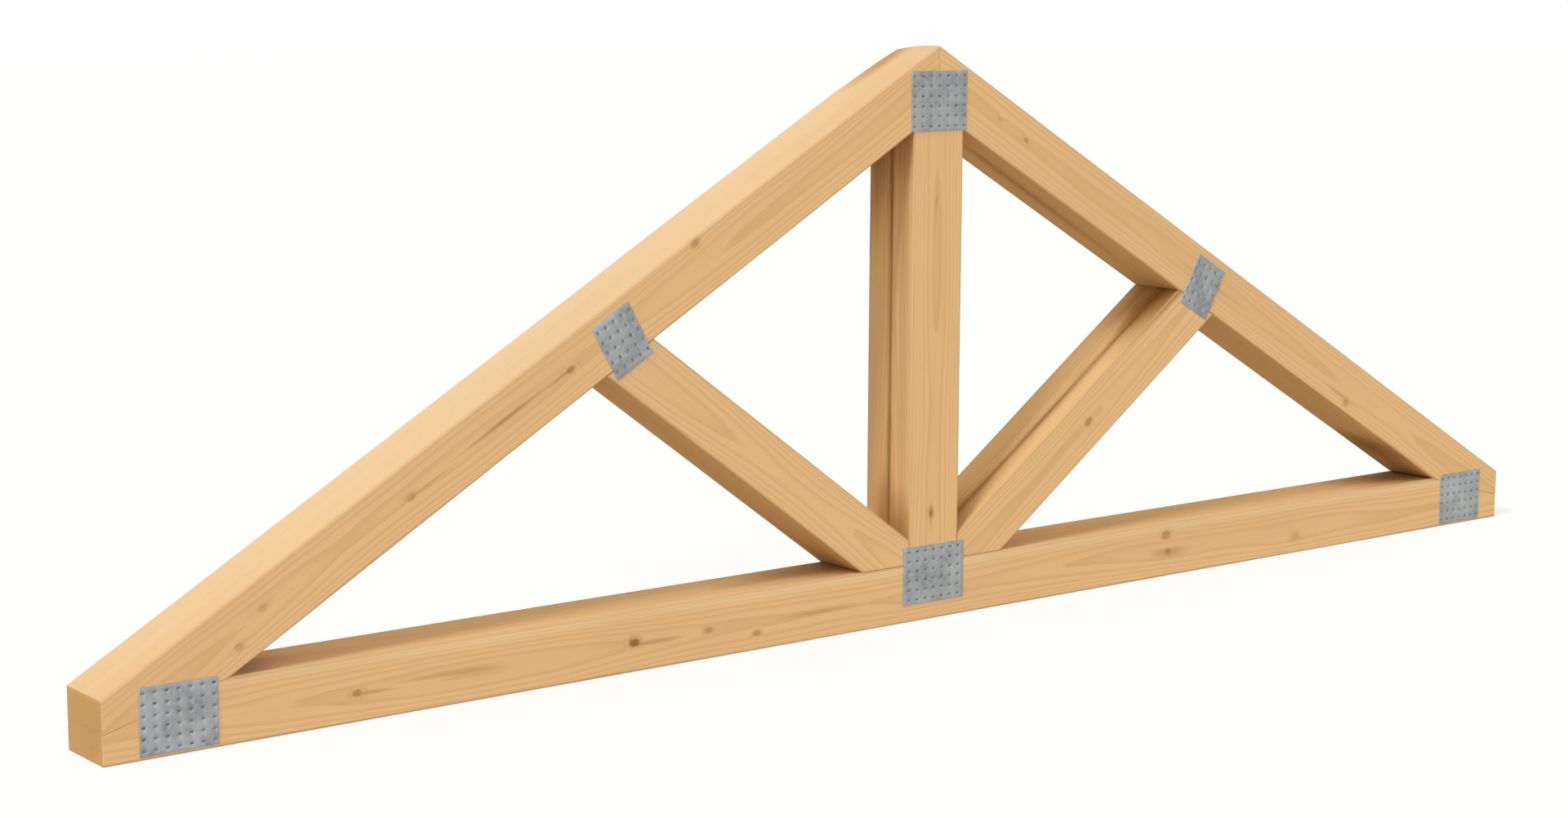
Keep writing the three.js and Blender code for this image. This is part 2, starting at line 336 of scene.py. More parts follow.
def softwood(name, line, seed, knots, streaks, sawn):
    """Solid softwood seen where the timber's faces cut it.

    Growth rings lie round a pith line that wanders a little along the timber. Knots are oval
    cones from the pith to a face and push the rings aside. Streaks are long darker or paler
    places: some are marks in the wood, others painted shade in corners and under other
    timbers, or a painted highlight and sheen on lit edges and faces. A sawn end shows the
    same rings under the marks of the saw.
    """
    wood = Finish(bpy.data.materials.new(name))
    start_x, start_z = line.start * MM
    cosine, sine = math.cos(line.angle), math.sin(line.angle)
    turned = (-start_x * cosine - start_z * sine, 0.0, start_x * sine - start_z * cosine)
    place = wood.node("ShaderNodeMapping", {"vector_type": "POINT"},
                      {"Vector": wood.place(), "Location": turned, "Rotation": (0.0, line.angle, 0.0)})
    pith = (0.0, line.pith[0] * MM, line.pith[1] * MM)

    def grain(cells, shift, *rest, out="Fac"):
        """Noise in the timber's own directions, moved by the timber's seed."""
        return wood.grain(place, cells, seed + shift, *rest, out=out)

    swell, shiver, ragged = grain(*SWELL_GRAIN), grain(*SHIVER_GRAIN), grain(*RAGGED_GRAIN)
    fibre, cloud = grain(*FIBRE_GRAIN), grain(*CLOUD_GRAIN)
    resin = wood.rising(grain(*RESIN_GRAIN), *RESIN_FROM)
    nearness, core, halo = knot_fields(wood, place, line, pith, ragged, knots)

    # growth rings: each fades in from early to late wood and ends sharply
    swing = wood.vector("MULTIPLY_ADD", grain(*PITH_GRAIN, out="Color"),
                        (0.0, PITH_WANDER, PITH_WANDER),
                        (0.0, -PITH_WANDER / 2 - pith[1], -PITH_WANDER / 2 - pith[2]))
    from_pith = wood.vector("MULTIPLY", wood.vector("ADD", place, swing), (0.0, 1.0, 1.0))
    radius = wood.length(from_pith)
    ringed = (radius + (swell - 0.5) * RING_SWELL + (shiver - 0.5) * RING_SHIVER
              + halo * RING_PUSH)
    phase = wood.math("FRACT", ringed * (1.0 / RING_WIDTH) + RINGS_BEFORE_PITH)
    late = wood.rising(phase, LATE_WOOD_FROM, RING_END) * (1.0 - wood.rising(phase, RING_END, 1.0))
    heart = 1.0 - wood.rising(radius + (swell - 0.5) * HEARTWOOD_SWELL, *HEARTWOOD_RADII)

    tone = wood.blend(late * (LATE_TINT + cloud * LATE_CLOUD_TINT), EARLY_WOOD, LATE_WOOD)
    tone = wood.blend(heart * HEART_TINT, tone, HEART_WOOD)
    for x, z, y, length, tall, broad, strength, colour in streaks:
        along, across = line.local(x, z)
        centre = (along * MM, y * MM, across * MM)
        shape = (2.0 / (length * MM), 2.0 / (broad * MM), 2.0 / (tall * MM))
        gone = wood.length(wood.vector("MULTIPLY", wood.vector("SUBTRACT", place, centre), shape))
        frayed = gone + (swell - 0.5) * STREAK_FRAY[0] + (fibre - 0.5) * STREAK_FRAY[1]
        tone = wood.blend((1.0 - wood.rising(frayed, *STREAK_FADE)) * strength, tone, colour)

    # the knots themselves: dark rim, brown heart with its own rings
    own_phase = wood.math("FRACT", (nearness + (shiver - 0.5) * KNOT_RING_SHIVER
                                    + (ragged - 0.5) * KNOT_RING_RAGGED) * KNOT_RINGS)
    own_rings = wood.rising(own_phase, *KNOT_RING_EDGES)
    knot_wood = wood.blend(own_rings * KNOT_RING_TINT, KNOT_HEART, KNOT_RIM)
    tone = wood.blend(halo * KNOT_HALO_TINT, tone, STREAK)
    tone = wood.blend(core, tone, knot_wood)
    rim = wood.rising(nearness, *KNOT_RIM_FROM) * (1.0 - wood.rising(nearness, *KNOT_RIM_TO))
    tone = wood.blend(rim * halo * wood.rising(ragged, *RIM_BROKEN) * KNOT_RIM_TINT, tone, KNOT_RIM)

    brightness = (BRIGHTNESS + (fibre - 0.5) * FIBRE_SHADE + (cloud - 0.5) * CLOUD_SHADE
                  - resin * RESIN_SHADE)
    tone = wood.node("ShaderNodeVectorMath", {"operation": "SCALE"}, {0: tone, "Scale": brightness})

    if sawn:
        teeth = grain(*SAW_GRAIN)
        tone = wood.blend(1.0, tone, SAWN_TINT, "MULTIPLY")
        rough = SAWN_ROUGHNESS + (teeth - 0.5) * TEETH_ROUGHNESS
        height = teeth * TEETH_RISE + late * SAWN_LATE_RISE
        return wood.surface(tone, rough, height, SAWN_RELIEF, gloss=RAW_WOOD_GLOSS)
    split = wood.node("ShaderNodeAttribute", {"attribute_name": "check"}, out="Fac")
    # painted shade on the arrises, against the highlight on their rounds
    arris_shading = wood.node("ShaderNodeAttribute", {"attribute_name": "arris"}, out="Fac")
    tone = wood.blend(arris_shading * ARRIS_SHADE_SHARE, tone, PAINTED_ARRIS_SHADE)
    tone = wood.blend(wood.rising(split, *CHECK_TINT_EDGES) * CHECK_TINT, tone, CHECK_DARK)
    rough = PLANED_ROUGHNESS + (fibre - 0.5) * FIBRE_ROUGHNESS - late * LATE_SMOOTHNESS
    height = fibre * FIBRE_RISE + late * LATE_RISE - resin * RESIN_SINK
    return wood.surface(tone, rough, height, PLANED_RELIEF, gloss=RAW_WOOD_GLOSS)


# ---- meshes
def face_outwards(mesh):
    """Flips a closed mesh whose signed volume (sum of corner triple products) is negative."""
    mesh.calc_loop_triangles()
    corners = np.zeros(len(mesh.loop_triangles) * 3, np.int32)
    mesh.loop_triangles.foreach_get("vertices", corners)
    co = np.zeros(len(mesh.vertices) * 3)
    mesh.vertices.foreach_get("co", co)
    a, b, c = np.moveaxis(co.reshape(-1, 3)[corners.reshape(-1, 3)], 1, 0)
    if np.einsum("ij,ij->i", a, np.cross(b, c)).sum() < 0:
        mesh.flip_normals()
    mesh.update()


def closed_piece(name, points, outer, inner, sharp_degrees, marks=()):
    """A smooth closed piece from points in metres and lists of faces.

    Outer faces get the first material and inner faces the second. marks are pairs of a name
    and a number for every point, which the materials read.
    """
    mesh = bpy.data.meshes.new(name)
    faces = outer + inner
    mesh.from_pydata(points.tolist(), [], faces)
    mesh.polygons.foreach_set("material_index",
                              np.array([0] * len(outer) + [1] * len(inner), np.int32))
    mesh.polygons.foreach_set("use_smooth", np.ones(len(faces), bool))
    for label, values in marks:
        held = mesh.attributes.new(label, "FLOAT", "POINT")
        held.data.foreach_set("value", values.reshape(-1).astype(np.float32))
    face_outwards(mesh)
    mesh.set_sharp_from_angle(angle=math.radians(sharp_degrees))
    piece = bpy.data.objects.new(name, mesh)
    bpy.context.scene.collection.objects.link(piece)
    return piece


# ---- timbers, in millimetres
ARRIS_ROOM = 3.0  # a flat face's lines keep this far from the timber's corner
ARRIS_STEPS = 6
ARRIS_RADIUS, ARRIS_UNEVENNESS, ARRIS_WAVE = 3.4, 1.1, 210.0
ARRIS_TURNS = np.arange(1, ARRIS_STEPS) / ARRIS_STEPS * math.pi / 2
EDGE_LINE_SHADE = 0.8  # share of the arris's painted shade on the face line next to it

LINE_STEP, LINE_MARGIN = 11.0, 7.0
LINE_BESIDE_EDGE, EDGE_BAND = 1.2, 2.0
CREASE_ROOM = 3.0
CHECK_ROOM, CHECK_ROOM_FOR_WANDER = 9.0, 1.2
GATHERED = np.arange(-2, 3) * 0.01  # a check's five lines, before the check opens them
UNGATHERED = np.arange(-2, 3) * 2.0  # and how they spread on the face that has no check

FACE_DIP, FACE_WAVE, FACE_WAVE_SLANT, FACE_DIP_FADE = 0.14, 160.0, 3.0, 4.0
WAVE_SHARES = (1.0, 0.53, 0.31, 0.17)
FULL_TURN = 6.28

# section of a drying check: for its five lines the place and depth over its width, and darkness
GROOVE = ((-1.6, 0, 0), (-0.5, 0.1, 0.12), (0, 2.2, 1), (0.5, 0.1, 0.12), (1.6, 0, 0))
LEAST_GROOVE = 0.3
GROOVE_DARKENING = 1.2
CHECK_TAPER = 90.0
CHECK_SWELL, CHECK_SWELL_WAVES = 0.28, (47.0, 113.0)
CHECK_SWING_WAVES, CHECK_JITTER_WAVES = (190.0, 67.0), (11.0, 5.3)

STATION_STEP = 9.0
END_EASE, END_RING = 0.8, 0.7
# wane: its reach along the timber, where it starts across, how far down the wood goes with it
WANE_REACH, WANE_START, WANE_DEPTH_SHARED = 300.0, -25.0, 60.0
WANE_FADE, WANE_HOLLOW = 2.5, 1.6  # powers of its fall along and across the timber
TIMBER_SHARP_DEGREES = 34


class Check:
    """A drying check: a V groove that opens along one face of a timber and wanders with the grain.

    side is front, back, upper or lower; middle is its offset on that face; each span is
    (start, end, width) along the timber; all in millimetres.
    """

    def __init__(self, side, middle, spans, wander, seed):
        self.side, self.middle, self.spans, self.wander, self.seed = side, middle, spans, wander, seed

    def width(self, s):
        """Its width at s: each span rises from nothing near its two ends, with slow swells."""
        short, long = CHECK_SWELL_WAVES
        swell = np.sin(s / short + self.seed) * np.sin(s / long + 2.1 * self.seed)
        total = np.zeros_like(s)
        for start, end, widest in self.spans:
            rise = np.clip((s - start) / CHECK_TAPER, 0, 1) * np.clip((end - s) / CHECK_TAPER, 0, 1)
            total = total + widest * np.sqrt(rise)
        return total * (1 - CHECK_SWELL + CHECK_SWELL * swell)

    def centre(self, s):
        """Where the groove's middle lies at s: its offset plus a slow swing and a fine jitter."""
        (long, short), (coarse, fine) = CHECK_SWING_WAVES, CHECK_JITTER_WAVES
        slow = np.sin(s / long + self.seed) + 0.5 * np.sin(s / short + 1.7 * self.seed)
        jitter = 0.25 * np.sin(s / coarse + self.seed) + 0.2 * np.sin(s / fine + 2.0 * self.seed)
        return self.middle + self.wander * (0.6 * slow + 0.5 * jitter)


class EndCuts:
    """The planes that end a timber, each (height at its middle line, lean) along the timber."""

    def __init__(self, line, cuts):
        self.far, self.near = [], []
        for point, normal in cuts:
            toward = float(normal @ line.along)
            plane = (float((point - line.start) @ normal) / toward,
                     -float(line.across @ normal) / toward)
            (self.far if toward > 0 else self.near).append(plane)

    def far_end(self, q):
        """Where lines at the offsets q in the section end: at the nearest of the far planes."""
        return np.min([middle + lean * q for middle, lean in self.far], axis=0)

    def near_end(self, q):
        """Where they start: at the farthest of the near planes."""
        return np.max([middle + lean * q for middle, lean in self.near], axis=0)

    def creases(self):
        """Offsets in the section at which the two planes of one end meet."""
        return [(second[0] - first[0]) / (first[1] - second[1])
                for first, second in (pair for pair in (self.far, self.near) if len(pair) == 2)]


def smooth_random(s, seed, reach):
    """Slow wobble between -1 and 1 along s: four sines of unrelated lengths about reach."""
    dice = np.random.default_rng(seed)
    total = np.zeros_like(s)
    for share in WAVE_SHARES:
        total = total + share * np.sin(s / (reach * share) + dice.uniform(0, FULL_TURN))
    return total / sum(WAVE_SHARES)


def side_lines(half, creases, checks):
    """Offsets of the lengthwise grid lines on one flat face, from edge to edge.

    Even lines about 11 mm apart, a line close to each arris, a line on each crease of the end
    cuts, and five lines gathered on each check. Returns the offsets, and each check with the
    number of its first line.
    """
    edge = half - ARRIS_ROOM
    inner = edge - LINE_MARGIN
    lines = list(np.linspace(-edge + LINE_MARGIN, inner, int(round(2 * inner / LINE_STEP))))
    for crease in creases:
        if abs(crease) < edge - CREASE_ROOM:
            lines = [v for v in lines if abs(v - crease) > CREASE_ROOM] + [crease]
    for check in checks:
        room = CHECK_ROOM + CHECK_ROOM_FOR_WANDER * check.wander
        keep = [v for v in lines if abs(v - check.middle) > room or v in creases]
        lines = keep + list(check.middle + GATHERED)
    lines = [-edge, -edge + LINE_BESIDE_EDGE] + sorted(lines) + [edge - LINE_BESIDE_EDGE, edge]
    return np.array(lines), [(check, lines.index(check.middle + GATHERED[0])) for check in checks]


def flat_face(s, offsets, half, radii, checks, seed):
    """Offsets along one face, dips into the wood and darkness, for every station and grid line.

    The outer lines keep to the two arrises, whose radii change along the timber. The face dips
    by a slow wobble that fades at its edges. Each check sets its five lines to its own width
    about its wandering middle and sinks them to a V.
    """
    edge = half - ARRIS_ROOM
    lateral = np.ones_like(s) * offsets
    lateral = np.where(offsets < -edge + EDGE_BAND, -half + radii[0] + (offsets + edge), lateral)
    lateral = np.where(offsets > edge - EDGE_BAND, half - radii[1] + (offsets - edge), lateral)
    dip = FACE_DIP * (1 + smooth_random(s + FACE_WAVE_SLANT * offsets, seed, FACE_WAVE))
    dip = dip * np.clip((edge - np.abs(offsets)) / FACE_DIP_FADE, 0, 1)
    groove = np.zeros_like(lateral)
    for check, first in checks:
        gap, centre = check.width(s[:, 0]), check.centre(s[:, 0])
        for column, (spread, deep, dark) in enumerate(GROOVE, first):
            lateral[:, column] = centre + spread * np.maximum(gap, LEAST_GROOVE)
            dip[:, column] += deep * gap
            groove[:, column] = dark * np.clip(gap * GROOVE_DARKENING, 0, 1)
    return lateral, dip, groove


def end_faces(rise, through_upper, through_lower):
    """Faces that close the first ring of a timber, as numbers of points round the section.

    A ladder of quads between the front and back columns of points, and one face each over the
    upper and under the lower side. The counts are the points on the front, upper and lower flats.
    """
    arris = ARRIS_STEPS - 1
    counts = (rise, arris, through_upper, arris, rise, arris, through_lower, arris)
    front, top_front, upper, top_back, back, low_back, lower, low_front = (
        np.arange(start, start + count)
        for start, count in zip(np.cumsum((0, *counts)), counts))
    left = np.concatenate([low_front, front, top_front])
    right = np.concatenate([low_back[::-1], back[::-1], top_back[::-1]])
    ladder = np.stack([left[:-1], right[:-1], right[1:], left[1:]], axis=-1).tolist()
    return ladder + [[int(left[-1]), int(right[-1]), *upper[::-1].tolist()],
                     [int(right[0]), int(left[0]), *lower[::-1].tolist()]]


def sawn_timber(name, line, depth, cuts, checks, seed, wane):
    """A timber as one closed surface: a rounded rectangle carried along a straight line.

    A grid of stations along the timber by points round its section, whose lengthwise lines
    run between the end cuts. Arrises are quarter rounds whose radius wobbles, faces dip by a
    fraction of a millimetre, and checks are V grooves that follow gathered lines. Wane is how
    far the upper face falls at its back edge by the ridge, where the log had no more wood.
    """
    half_depth, half_thick = depth / 2, TIMBER_THICKNESS / 2
    ends = EndCuts(line, cuts)
    reach_lo, reach_hi = ends.near_end(0.0), ends.far_end(0.0)
    reach = reach_hi - reach_lo
    inner = np.linspace(0, 1, int(round(reach / STATION_STEP)) + 1)[1:-1]
    share = np.concatenate([[0.0, END_RING / reach], inner, [1 - END_RING / reach, 1.0]])[:, None]
    s_mid = reach_lo + reach * share
    radii = [ARRIS_RADIUS + ARRIS_UNEVENNESS * smooth_random(s_mid, seed * 10 + corner, ARRIS_WAVE)
             for corner in range(4)]

    rise = side_lines(half_depth, ends.creases(), [c for c in checks if c.side in ("front", "back")])
    upper, lower = (side_lines(half_thick, [], [c for c in checks if c.side == side])
                    for side in ("upper", "lower"))
    section = []

    def add_flat(side, lines, low_corner, high_corner):
        """Adds the columns of a flat face; lines gathered for the other face's check open out."""
        offsets, gathered = lines[0].copy(), lines[1]
        for check, first in gathered:
            if check.side != side:
                offsets[first:first + len(UNGATHERED)] += UNGATHERED
        lateral, dip, groove = flat_face(
            s_mid, offsets, half_depth if side in ("front", "back") else half_thick,
            (radii[low_corner], radii[high_corner]),
            [held for held in gathered if held[0].side == side], seed + len(side))
        outwards = 1 if side in ("upper", "back") else -1
        if side in ("front", "back"):
            q, y = lateral, outwards * (half_thick - dip)
        else:
            q, y = outwards * (half_depth - dip), lateral
        # painted shade mask: full on the arris rounds, a share on the face's outermost lines
        arris_shading = np.zeros_like(q)
        arris_shading[:, 0] = arris_shading[:, -1] = EDGE_LINE_SHADE
        columns = (q, y, groove, arris_shading)
        section.append([c[:, ::-1] for c in columns] if side in ("back", "lower") else columns)

    def add_arris(corner, up, back):
        """Adds a quarter round on the corner that lies up (1) or down, and back (1) or front."""
        radius = radii[corner]
        angle = ARRIS_TURNS[::-1] if up == back else ARRIS_TURNS
        q = up * (half_depth - radius * (1 - np.sin(angle)))
        y = back * (half_thick - radius * (1 - np.cos(angle)))
        section.append((q, y, np.zeros_like(q), np.ones_like(q)))

    # round the section: front face upwards, upper face to the back, back face down, lower face
    add_flat("front", rise, 0, 1)
    add_arris(1, 1, -1)
    add_flat("upper", upper, 1, 2)
    add_arris(2, 1, 1)
    add_flat("back", rise, 3, 2)
    add_arris(3, -1, 1)
    add_flat("lower", lower, 0, 3)
    add_arris(0, -1, -1)
    q, y, dark, arris_shading = (np.hstack(columns) for columns in zip(*section))

    if wane:
        beside_ridge = np.clip(1 - np.abs(s_mid) / WANE_REACH, 0, 1)
        towards_back = np.clip((y - WANE_START) / (half_thick - WANE_START), 0, 1)
        towards_top = np.clip((q - half_depth) / WANE_DEPTH_SHARED + 1, 0, 1)
        q = q - wane * beside_ridge**WANE_FADE * towards_back**WANE_HOLLOW * towards_top

    # the first and last rings are drawn in a little, so every sawn end has a fine eased rim
    for ring in (0, -1):
        q[ring] *= 1 - END_EASE / half_depth
        y[ring] *= 1 - END_EASE / half_thick
    near, far = ends.near_end(q), ends.far_end(q)
    s = near + (far - near) * share
    s[1], s[-2] = near[1] + END_EASE, far[-2] - END_EASE

    x = (line.start[0] + s * line.along[0] + q * line.across[0]) * MM
    z = (line.start[1] + s * line.along[1] + q * line.across[1]) * MM
    points = np.stack([x, y * MM, z], axis=-1).reshape(-1, 3)

    stations, around = q.shape
    index = np.arange(stations * around).reshape(stations, around)
    beside = np.roll(index, -1, axis=1)
    skin = np.stack([index[:-1], beside[:-1], beside[1:], index[1:]], axis=-1).reshape(-1, 4)
    sawn_ends = []
    for corners in end_faces(*(len(lines[0]) for lines in (rise, upper, lower))):
        sawn_ends += [corners, [corner + index[-1, 0].item() for corner in reversed(corners)]]
    return closed_piece(name, points, skin.tolist(), sawn_ends, TIMBER_SHARP_DEGREES,
                        (("check", dark), ("arris", arris_shading)))


# ---- nail plates, in millimetres
SHEARED_EDGE = 0.25
LINES_AT_SLOT_END = np.array([-1.5, -0.8, -0.3, 0.0])
LINES_AT_SLOT_SIDE = np.array([-0.5, 0.0])
LIP_AT_END, LIP_AT_SIDE = 1.5, 0.6
DENT_DEPTH, LIP_DEPTH, SHEAR_DEPTH = 0.10, 0.45, 0.22
DENT_WAVES, DENT_ALONG, DENT_ACROSS = 4, (0.03, 0.12), (-0.1, 0.1)
SLOT_FLOOR = 0.06  # the crushed wood in a slot stands this high, just clear of the timber
PLATE_SHARP_DEGREES = 50


def slot_centres(size, slot, pitch):
    """Middles of as many slots as fit on a length of plate, evenly about its own middle."""
    count = int((size - 2 * SLOT_EDGE_DISTANCE - slot) / pitch) + 1
    return (np.arange(count) - (count - 1) / 2) * pitch


def plate_lines(size, centres, half_slot, beside, middle=()):
    """Grid lines across a plate: at its rim, and on and close beside the edges of every slot."""
    lines = [-size / 2, -size / 2 + SHEARED_EDGE, size / 2 - SHEARED_EDGE, size / 2]
    for centre in centres:
        lines += [*(centre - half_slot + beside), *(centre + half_slot - beside)]
        lines += [centre + offset for offset in middle]
    return np.unique(np.round(lines, 4))


def past_slot(where, centres, half_slot):
    """How far a place is past the edge of the nearest slot; less than nothing within one."""
    return np.abs(where[..., None] - centres).min(-1) - half_slot


def punched_plate(name, length, width, centre, tilt, face, seed):
    """A nail plate: a sheet as a height field over a grid, with a pan sunk at each tooth slot.

    Grid lines run along the edges of the slots and close beside them. The sheet is its full
    thickness high, less a shallow dent everywhere and a rounded lip where each tooth was bent
    back at a slot's ends and where the plate was sheared. Slot cells drop to the timber.
    """
    half_u, half_v = TOOTH_SLOT[0] / 2, TOOTH_SLOT[1] / 2
    slot_u = slot_centres(length, TOOTH_SLOT[0], SLOT_PITCH[0])
    slot_v = slot_centres(width, TOOTH_SLOT[1], SLOT_PITCH[1])
    u = plate_lines(length, slot_u, half_u, LINES_AT_SLOT_END, (0.0,))
    v = plate_lines(width, slot_v, half_v, LINES_AT_SLOT_SIDE)
    grid_u, grid_v = np.meshgrid(u, v, indexing="ij")

    lip_u = np.clip(1 - np.maximum(past_slot(grid_u, slot_u, half_u), 0) / LIP_AT_END, 0, 1)
    lip_v = np.clip(1 - np.maximum(past_slot(grid_v, slot_v, half_v), 0) / LIP_AT_SIDE, 0, 1)
    edge = np.minimum(length / 2 - np.abs(grid_u), width / 2 - np.abs(grid_v))
    dice = np.random.default_rng(seed)
    wave = sum(np.sin(grid_u * dice.uniform(*DENT_ALONG) + grid_v * dice.uniform(*DENT_ACROSS)
                      + dice.uniform(0, FULL_TURN)) for _ in range(DENT_WAVES)) / DENT_WAVES
    high = (PLATE_THICKNESS - DENT_DEPTH * (1 + wave) - LIP_DEPTH * (lip_u**2 * lip_v)
            - SHEAR_DEPTH * (edge < SHEARED_EDGE / 2))

    rows, columns = grid_u.shape
    index = np.arange(rows * columns).reshape(rows, columns)
    in_u = past_slot((u[:-1] + u[1:]) / 2, slot_u, half_u) < 0
    in_v = past_slot((v[:-1] + v[1:]) / 2, slot_v, half_v) < 0
    in_slot = in_u[:, None] & in_v[None, :]
    quads = np.stack([index[:-1, :-1], index[1:, :-1], index[1:, 1:], index[:-1, 1:]], axis=-1)
    sheet = quads[~in_slot]

    # pans: each slot cell gets its own low corners, joined to the sheet by four walls
    low = index + rows * columns
    pans = quads[in_slot] + rows * columns
    cell_i, cell_j = np.nonzero(in_slot)
    walls = []
    for step_i, step_j, a, b in ((-1, 0, (0, 1), (0, 0)), (1, 0, (1, 0), (1, 1)),
                                 (0, -1, (0, 0), (1, 0)), (0, 1, (1, 1), (0, 1))):
        open_side = ~in_slot[cell_i + step_i, cell_j + step_j]
        i, j = cell_i[open_side], cell_j[open_side]
        at_a, at_b = (i + a[0], j + a[1]), (i + b[0], j + b[1])
        walls.append(np.stack([index[at_a], index[at_b], low[at_b], low[at_a]], axis=-1))
    walls = np.concatenate(walls)

    # flat back and rim
    rim = np.concatenate([index[:, 0], index[-1, 1:], index[-2::-1, -1], index[0, -2:0:-1]])
    base = 2 * rows * columns + np.arange(len(rim))
    skirt = np.stack([rim, base, np.roll(base, -1), np.roll(rim, -1)], axis=-1)

    flat = np.stack([grid_u, grid_v, high], axis=-1).reshape(-1, 3)
    sunk = np.stack([grid_u, grid_v, np.full_like(high, SLOT_FLOOR)], axis=-1).reshape(-1, 3)
    local = np.concatenate([flat, sunk, flat[rim] * [1, 1, 0]])
    used = np.zeros(len(local), bool)
    for part in (sheet, pans, walls, skirt):
        used[part.reshape(-1)] = True
    renumber = np.cumsum(used) - 1

    hand = 1 if face == "front" else -1
    x = centre[0] + local @ [hand * math.cos(tilt), -math.sin(tilt), 0.0]
    z = centre[1] + local @ [hand * math.sin(tilt), math.cos(tilt), 0.0]
    y = -hand * (TIMBER_THICKNESS / 2 + local[:, 2])
    points = (np.stack([x, y, z], axis=-1) * MM)[used]
    metal = [corners for part in (sheet, walls, skirt, base[None, ::-1])
             for corners in renumber[part].tolist()]
    return closed_piece(name, points, metal, renumber[pans].tolist(), PLATE_SHARP_DEGREES)


# nail plate metal, and the wood under it: crushed fibres, painted darker for the shade in the tooth
# holes
ZINC_DULL, ZINC_PLAIN = paint(134, 137, 137), paint(160, 162, 161)
ZINC_CRYSTAL, ZINC_BLOOM = paint(176, 179, 180), paint(190, 190, 186)
# crushed wood in the slots, darkened further as painted shade of the deep tooth holes
BRUISE_AND_SHADE_DARK, BRUISE_AND_SHADE_PALE = paint(100, 89, 76), paint(138, 122, 102)
BENT_ZINC = paint(138, 137, 133)
ZINC_RELIEF, TORN_RELIEF = 0.0001, 0.0004
CRYSTALS_PER_METRE = 170.0
ZINC_METAL, ZINC_BUMPS = 0.85, 0.5
CRYSTAL_TINT, BLOOM_TINT, BENT_TINT = 0.35, 0.35, 0.85
DULL_TO_PLAIN, BLOOM_FROM, FILLED_FROM = (0.3, 0.7), (0.55, 0.75), (0.32, 0.52)

# their noises: cells per metre, shift, detail
ZINC_CLOUD, ZINC_HAZE, ZINC_GRIT = ((28.0,) * 3, 2.0, 3.0), ((9.0,) * 3, 5.0), ((900.0,) * 3, 8.0)
TORN_GRAIN, FILLED_GRAIN = ((300.0, 300.0, 900.0), 1.0, 3.0), ((40.0,) * 3, 6.0, 1.0)


def galvanised_sheet():
    """Dull zinc: crystal patches a few millimetres wide, soft clouds, a pale bloom and a fine grit in
    its relief.
    """
    zinc = Finish(bpy.data.materials.new("galvanised_sheet"))
    place = zinc.place()
    crystals = zinc.node("ShaderNodeTexVoronoi", {},
                         {"Vector": place, "Scale": CRYSTALS_PER_METRE}, "Color")
    patch = zinc.node("ShaderNodeSeparateColor", {}, {"Color": crystals}, "Red")
    cloud, haze, grit = (zinc.grain(place, *noise) for noise in (ZINC_CLOUD, ZINC_HAZE, ZINC_GRIT))
    tone = zinc.blend(zinc.rising(cloud, *DULL_TO_PLAIN), ZINC_DULL, ZINC_PLAIN)
    tone = zinc.blend(patch * CRYSTAL_TINT, tone, ZINC_CRYSTAL)
    tone = zinc.blend(zinc.rising(haze, *BLOOM_FROM) * BLOOM_TINT, tone, ZINC_BLOOM)
    rough = 0.42 + cloud * 0.14 + patch * 0.08
    height = patch * 0.15 + grit * 0.5 + cloud
    return zinc.surface(tone, rough, height, ZINC_RELIEF, ZINC_BUMPS, ZINC_METAL)


def shaded_crushed_fibres():
    """Wood and bent zinc at the bottom of a tooth slot, darker where the wood shows more.

    Its dark colours are partly crushed fibres and partly painted shade for the deep tooth hole.
    """
    bruise_and_shade = Finish(bpy.data.materials.new("shaded_crushed_fibres"))
    place = bruise_and_shade.place()
    torn = bruise_and_shade.grain(place, *TORN_GRAIN)
    filled = bruise_and_shade.rising(bruise_and_shade.grain(place, *FILLED_GRAIN), *FILLED_FROM)
    tone = bruise_and_shade.blend(torn, BRUISE_AND_SHADE_DARK, BRUISE_AND_SHADE_PALE)
    tone = bruise_and_shade.blend(filled * BENT_TINT, tone, BENT_ZINC)
    return bruise_and_shade.surface(tone, 0.85 + torn * 0.1, torn, TORN_RELIEF, gloss=RAW_WOOD_GLOSS)


# ---- making the truss
def top_chord_line(side, pith):
    """The middle line of a top chord, always running towards +X."""
    roof = on_side(side, ROOF_NORMAL)
    peak = np.array([0.0, PEAK_HEIGHT]) - roof * TOP_CHORD_DEPTH / 2
    down = on_side(side, DOWN_SLOPE)
    return GrainLine(peak, down * side, pith)


def web_line(side, pith):
    """The middle line of a web, always running towards +X."""
    foot = on_side(side, WEB_FOOT + WEB_DOWN * WEB_DEPTH / 2)
    return GrainLine(foot, on_side(side, WEB_ALONG) * side, pith)


BOTTOM_LINE = GrainLine((0.0, BOTTOM_CHORD_DEPTH / 2), (1.0, 0.0), (4.0, -4.0))
POST_LINE = GrainLine((0.0, 0.0), (0.0, 1.0), (-3.0, 3.0))
TOP_LINES = {-1: top_chord_line(-1, (3.0, 5.0)), 1: top_chord_line(1, (-2.0, 2.0))}
WEB_LINES = {-1: web_line(-1, (5.0, -2.0)), 1: web_line(1, (-4.0, 3.0))}

RIDGE_WANE = 11.0
GRAIN_SHIFT = 13.7  # sets one timber's grain apart from the next one's


def plumb_cut(run, outwards):
    """An upright plane at a run from the centre line, facing outwards (1 or -1 along X)."""
    return np.array([run, 0.0]), np.array([float(outwards), 0.0])


